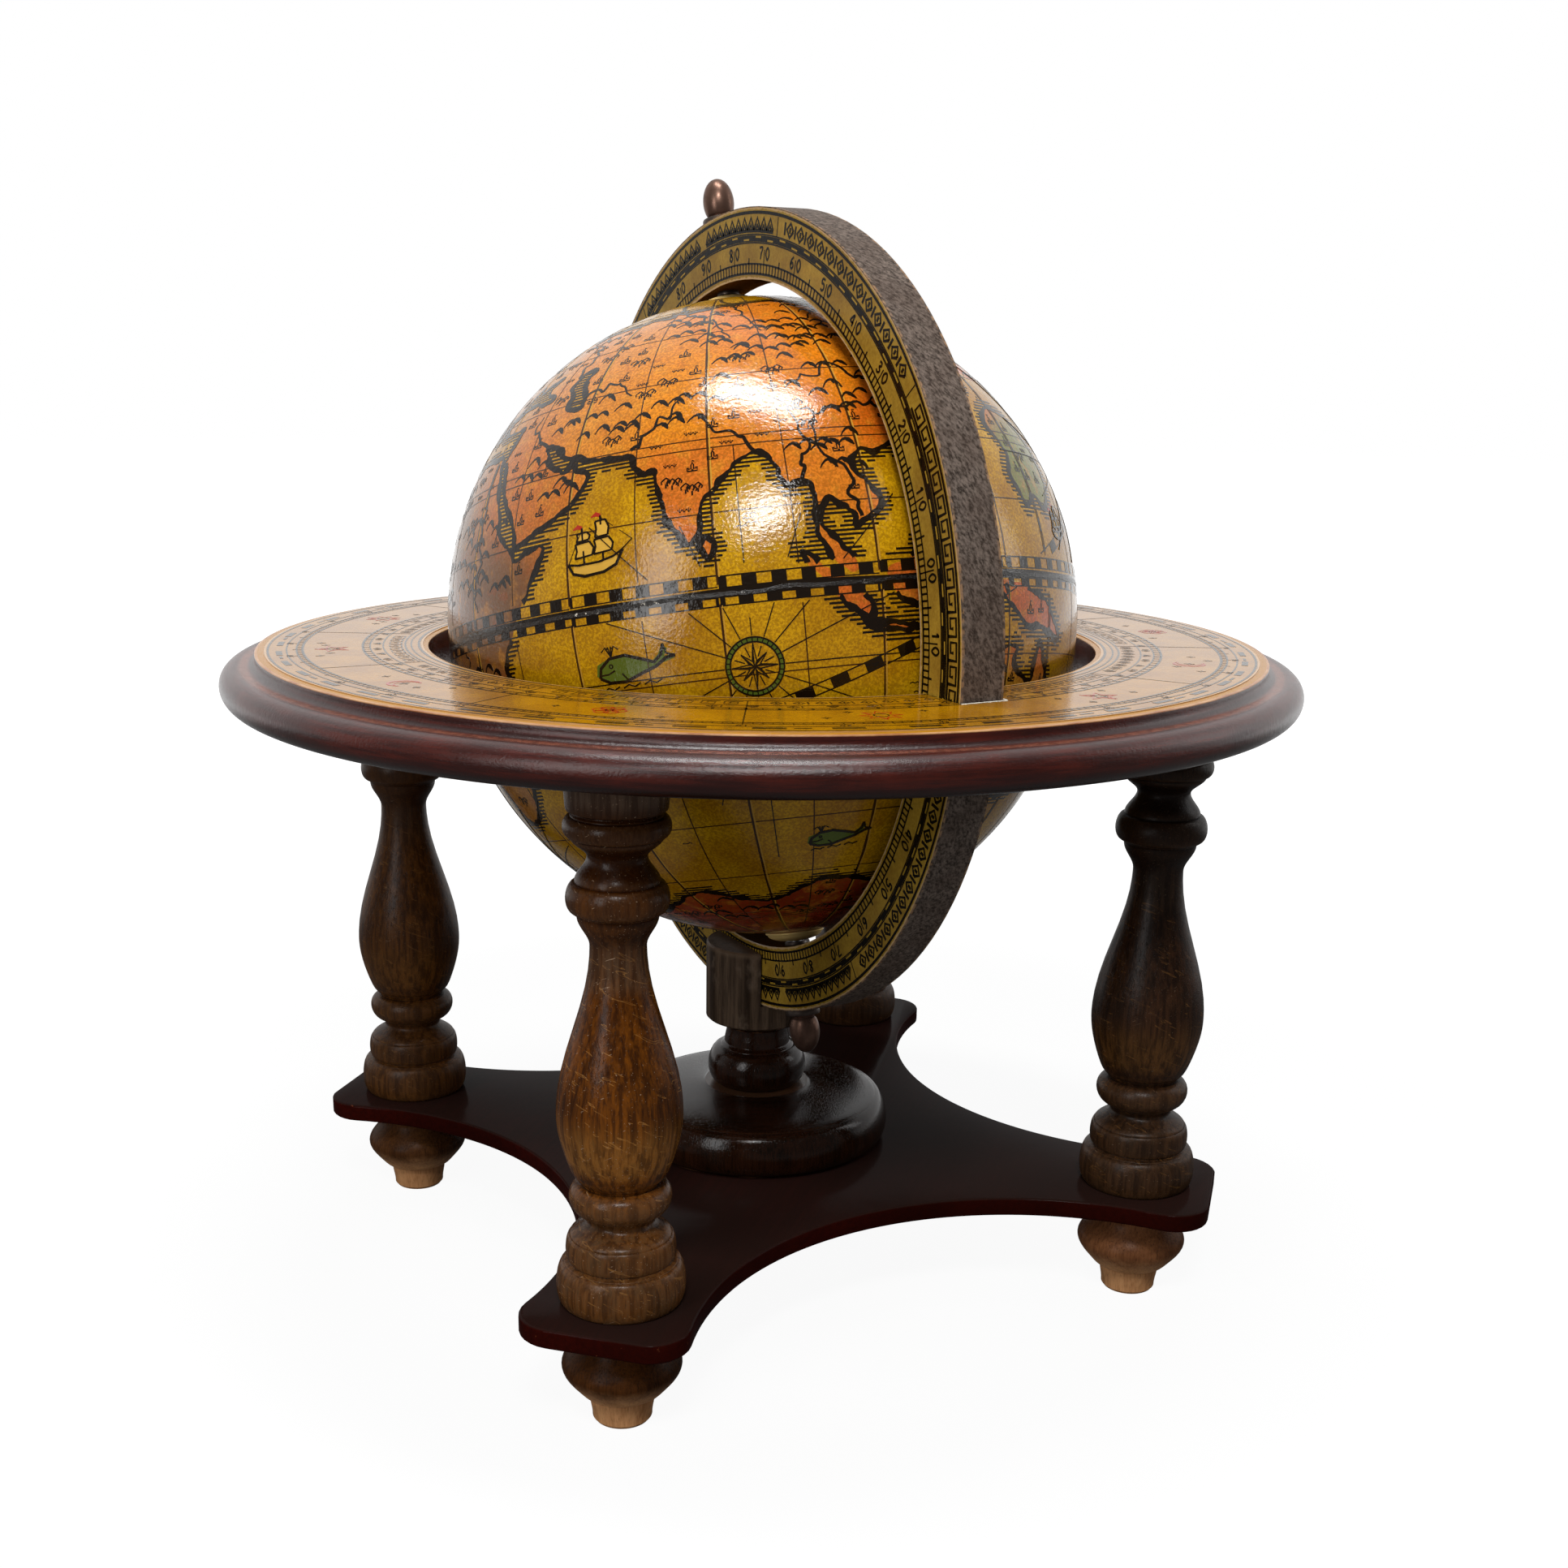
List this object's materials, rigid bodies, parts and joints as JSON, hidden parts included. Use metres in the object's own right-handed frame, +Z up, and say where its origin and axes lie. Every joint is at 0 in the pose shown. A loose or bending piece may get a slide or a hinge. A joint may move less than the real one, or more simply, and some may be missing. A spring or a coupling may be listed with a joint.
{
  "type": "desktop globe on stand",
  "caption": "Old-style desktop globe in a tilting meridian ring, held by a broad horizon ring on turned legs over a cross-shaped board.",
  "frame": {"origin": "on the table, under the middle of the stand", "axes": "+Z up; the meridian ring stands in the YZ plane and the north pole leans towards +Y"},
  "size_m": [0.34, 0.3398, 0.3495],
  "materials": {
    "board": "satin",
    "leg_wood": "satin",
    "foot_wood": "matte",
    "steel": "satin",
    "pale_wood": "matte",
    "ring_wood": "satin",
    "horizon_paper": "satin",
    "black_wood": "gloss",
    "holder_wood": "satin",
    "meridian_wood": "satin",
    "meridian_paper": "satin",
    "rim_paper": "matte",
    "dark_metal": "satin",
    "bronze": "satin",
    "shell_card": "matte",
    "map_north": "gloss",
    "map_south": "gloss",
    "cap_brass": "gloss"
  },
  "bodies": {
    "stand": {"base_plate": "board", "leg_front_left": "leg_wood", "leg_front_right": "leg_wood", "leg_back_left": "leg_wood", "leg_back_right": "leg_wood", "foot_front_left": "foot_wood", "foot_front_right": "foot_wood", "foot_back_left": "foot_wood", "foot_back_right": "foot_wood", "leg_studs": "steel", "ring_dowels": "pale_wood", "horizon_ring": "ring_wood", "horizon_print": "horizon_paper", "pedestal_base": "black_wood", "pedestal_neck": "black_wood", "ring_holder": "holder_wood", "pedestal_screw": "steel"},
    "meridian": {"meridian_ring": "meridian_wood", "meridian_print_left": "meridian_paper", "meridian_print_right": "meridian_paper", "meridian_rim_band": "rim_paper", "axle_rod": "steel", "pole_spacers": "dark_metal", "finial_washers": "bronze", "finial_top": "bronze", "finial_bottom": "bronze"},
    "globe": {"globe_north_half": "shell_card", "globe_south_half": "shell_card", "map_paper_north": "map_north", "map_paper_south": "map_south", "joining_band": "shell_card", "pole_hub_north": "pale_wood", "pole_hub_south": "pale_wood", "pole_cap_north": "cap_brass", "pole_cap_south": "cap_brass"}
  },
  "joints": [
    {"name": "meridian_tilt", "type": "hinge", "parent": "stand", "child": "meridian", "pos_m": [0, 0, 0.2139], "axis": [-1, 0, 0], "range_deg": [-3, 60]},
    {"name": "globe_spin", "type": "hinge", "parent": "meridian", "child": "globe", "pos_m": [0, 0, 0.2139], "axis": [0, 0.2487, 0.9686], "continuous": true}
  ]
}
